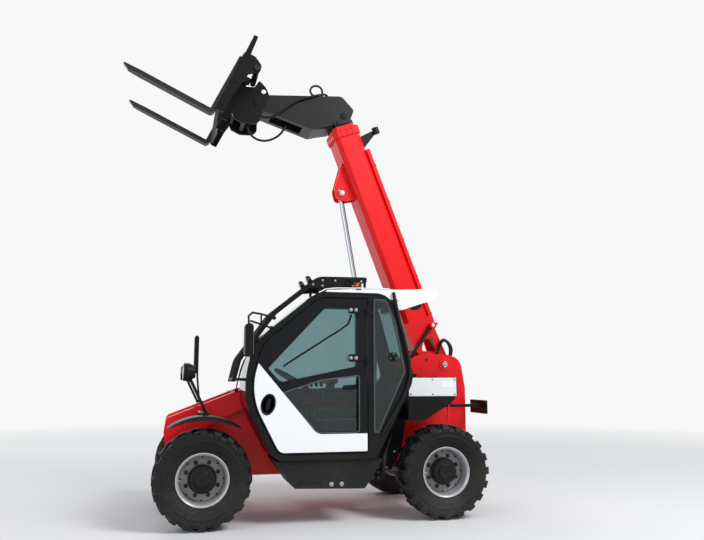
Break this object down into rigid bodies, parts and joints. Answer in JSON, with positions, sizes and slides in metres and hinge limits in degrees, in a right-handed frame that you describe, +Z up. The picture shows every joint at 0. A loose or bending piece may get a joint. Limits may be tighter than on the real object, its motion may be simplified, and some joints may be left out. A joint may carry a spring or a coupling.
{
  "type": "telehandler",
  "caption": "Compact telescopic handler: raised boom with pallet forks, side cab with door, four steered wheels",
  "frame": {"origin": "on the ground under the middle of the whole machine's box, boom raised as in the picture", "axes": "+X forward, the way the forks point; +Y to the driver's left, the cab's side; +Z up"},
  "size_m": [3.5412, 2.12, 4.7587],
  "materials": {
    "frame_red": "bright red gloss paint",
    "panel_white": "white gloss paint",
    "cab_black": "satin black paint",
    "carriage_black": "satin black paint, slightly worn",
    "belly_grey": "dark grey paint",
    "rim_silver": "silver paint",
    "tyre_rubber": "black rubber, dusty",
    "rod_chrome": "polished chrome",
    "cast_dark": "black painted casting",
    "window_glass": "lightly tinted glass",
    "trim_plastic": "black textured plastic",
    "lamp_mixed": "clear lamp in a black shell",
    "beacon_orange": "orange translucent plastic",
    "seat_cloth": "dark grey woven cloth"
  },
  "bodies": {
    "chassis": {"frame_plates": "frame_red", "cross_members": "frame_red", "nose_cover": "frame_red", "front_axle": "cast_dark", "rear_axle": "cast_dark", "drive_shaft": "cast_dark", "engine": "cast_dark", "belly_tank": "belly_grey", "hydraulic_tank": "belly_grey", "front_fenders": "trim_plastic", "headlamps": "lamp_mixed", "mirrors": "trim_plastic", "rear_lamp_boards": "trim_plastic", "cab_frame": "cab_black", "cab_glass": "window_glass", "cab_roof": "panel_white", "cab_guard": "cab_black", "beacon": "beacon_orange", "seat": "seat_cloth", "seat_base": "trim_plastic", "dashboard": "trim_plastic"},
    "engine_cover": {"engine_cover": "frame_red"},
    "door": {"door_frame": "cab_black", "door_panel": "panel_white", "door_glass": "window_glass"},
    "boom": {"outer_boom": "frame_red", "work_lamp": "lamp_mixed"},
    "inner_boom": {"inner_boom": "carriage_black"},
    "carriage": {"coupler": "carriage_black", "fork_carriage": "carriage_black", "forks": "carriage_black"},
    "track_rod_front": {"front_tie_rod": "cast_dark"},
    "track_rod_rear": {"rear_tie_rod": "cast_dark"},
    "lift_barrel": {"lift_barrel": "cast_dark"},
    "lift_rod": {"lift_rod": "rod_chrome"},
    "level_barrel": {"level_barrel": "frame_red"},
    "level_rod": {"level_rod": "rod_chrome"},
    "tilt_barrel": {"tilt_barrel": "cast_dark"},
    "tilt_rod": {"tilt_rod": "rod_chrome"},
    "knuckle_front_left": {"knuckle_front_left": "cast_dark"},
    "wheel_front_left": {"tyre_front_left": "tyre_rubber", "rim_front_left": "rim_silver", "hub_front_left": "cast_dark"},
    "knuckle_front_right": {"knuckle_front_right": "cast_dark"},
    "wheel_front_right": {"tyre_front_right": "tyre_rubber", "rim_front_right": "rim_silver", "hub_front_right": "cast_dark"},
    "knuckle_rear_left": {"knuckle_rear_left": "cast_dark"},
    "wheel_rear_left": {"tyre_rear_left": "tyre_rubber", "rim_rear_left": "rim_silver", "hub_rear_left": "cast_dark"},
    "knuckle_rear_right": {"knuckle_rear_right": "cast_dark"},
    "wheel_rear_right": {"tyre_rear_right": "tyre_rubber", "rim_rear_right": "rim_silver", "hub_rear_right": "cast_dark"}
  },
  "joints": [
    {"name": "steer_front_left", "type": "hinge", "parent": "chassis", "child": "knuckle_front_left", "pos_m": [0.935, 0.6, 0.425], "axis": [0, 0, 1], "range_deg": [-32, 32]},
    {"name": "spin_front_left", "type": "hinge", "parent": "knuckle_front_left", "child": "wheel_front_left", "pos_m": [0.935, 0.75, 0.425], "axis": [0, 1, 0], "continuous": true},
    {"name": "steer_front_right", "type": "hinge", "parent": "chassis", "child": "knuckle_front_right", "pos_m": [0.935, -0.6, 0.425], "axis": [0, 0, 1], "range_deg": [-32, 32]},
    {"name": "spin_front_right", "type": "hinge", "parent": "knuckle_front_right", "child": "wheel_front_right", "pos_m": [0.935, -0.75, 0.425], "axis": [0, 1, 0], "continuous": true},
    {"name": "track_rod_front", "type": "slide", "parent": "chassis", "child": "track_rod_front", "axis": [0, 1, 0], "range_m": [-0.07, 0.07]},
    {"name": "steer_rear_left", "type": "hinge", "parent": "chassis", "child": "knuckle_rear_left", "pos_m": [-1.265, 0.6, 0.425], "axis": [0, 0, 1], "range_deg": [-32, 32]},
    {"name": "spin_rear_left", "type": "hinge", "parent": "knuckle_rear_left", "child": "wheel_rear_left", "pos_m": [-1.265, 0.75, 0.425], "axis": [0, 1, 0], "continuous": true},
    {"name": "steer_rear_right", "type": "hinge", "parent": "chassis", "child": "knuckle_rear_right", "pos_m": [-1.265, -0.6, 0.425], "axis": [0, 0, 1], "range_deg": [-32, 32]},
    {"name": "spin_rear_right", "type": "hinge", "parent": "knuckle_rear_right", "child": "wheel_rear_right", "pos_m": [-1.265, -0.75, 0.425], "axis": [0, 1, 0], "continuous": true},
    {"name": "track_rod_rear", "type": "slide", "parent": "chassis", "child": "track_rod_rear", "axis": [0, 1, 0], "range_m": [-0.07, 0.07]},
    {"name": "boom_lift", "type": "hinge", "parent": "chassis", "child": "boom", "pos_m": [-1.495, 0, 1.418], "axis": [0, -1, 0], "range_deg": [-70, 0]},
    {"name": "boom_extend", "type": "slide", "parent": "boom", "child": "inner_boom", "axis": [0.3584, 0, 0.9336], "range_m": [0, 1.9]},
    {"name": "carriage_tilt", "type": "hinge", "parent": "inner_boom", "child": "carriage", "pos_m": [0.47261, 0, 4.08823], "axis": [0, 1, 0], "range_deg": [-57, 60]},
    {"name": "lift_cylinder", "type": "hinge", "parent": "chassis", "child": "lift_barrel", "pos_m": [-0.915, 0, 0.6], "axis": [0, -1, 0], "range_deg": [-62.83, 0.12]},
    {"name": "lift_rod", "type": "slide", "parent": "lift_barrel", "child": "lift_rod", "axis": [0.173, 0, 0.9849], "range_m": [-1.1235, 0.002]},
    {"name": "level_cylinder", "type": "hinge", "parent": "chassis", "child": "level_barrel", "pos_m": [-0.715, 0.212, 0.93], "axis": [0, -1, 0], "range_deg": [-2.8, 0.12]},
    {"name": "level_rod", "type": "slide", "parent": "level_barrel", "child": "level_rod", "axis": [-0.6057, 0, 0.7957], "range_m": [-0.4776, 0.002]},
    {"name": "tilt_cylinder", "type": "hinge", "parent": "inner_boom", "child": "tilt_barrel", "pos_m": [-0.45064, 0, 4.02703], "axis": [0, -1, 0], "range_deg": [-2.67, 2.8]},
    {"name": "tilt_rod", "type": "slide", "parent": "tilt_barrel", "child": "tilt_rod", "axis": [0.9802, 0, 0.1981], "range_m": [-0.1116, 0.1173]},
    {"name": "door_hinge", "type": "hinge", "parent": "chassis", "child": "door", "pos_m": [-0.505, 0.905, 1.3], "axis": [0, 0, 1], "range_deg": [0, 90]},
    {"name": "engine_cover_hinge", "type": "hinge", "parent": "chassis", "child": "engine_cover", "pos_m": [-0.22, -0.292, 1.15], "axis": [-1, 0, 0], "range_deg": [0, 60]}
  ],
  "couplings": [
    {"joint": "steer_front_right", "follows": "steer_front_left", "ratio": 1},
    {"joint": "track_rod_front", "follows": "steer_front_left", "m_per_rad": -0.114},
    {"joint": "steer_rear_right", "follows": "steer_rear_left", "ratio": 1},
    {"joint": "track_rod_rear", "follows": "steer_rear_left", "m_per_rad": 0.114},
    {"joint": "lift_cylinder", "follows": "boom_lift", "ratio": 0.89597},
    {"joint": "lift_rod", "follows": "boom_lift", "m_per_rad": 0.91799},
    {"joint": "level_cylinder", "follows": "boom_lift", "ratio": 0.03828},
    {"joint": "level_rod", "follows": "boom_lift", "m_per_rad": 0.38926},
    {"joint": "tilt_cylinder", "follows": "carriage_tilt", "ratio": 0.04481},
    {"joint": "tilt_rod", "follows": "carriage_tilt", "m_per_rad": 0.11014}
  ]
}
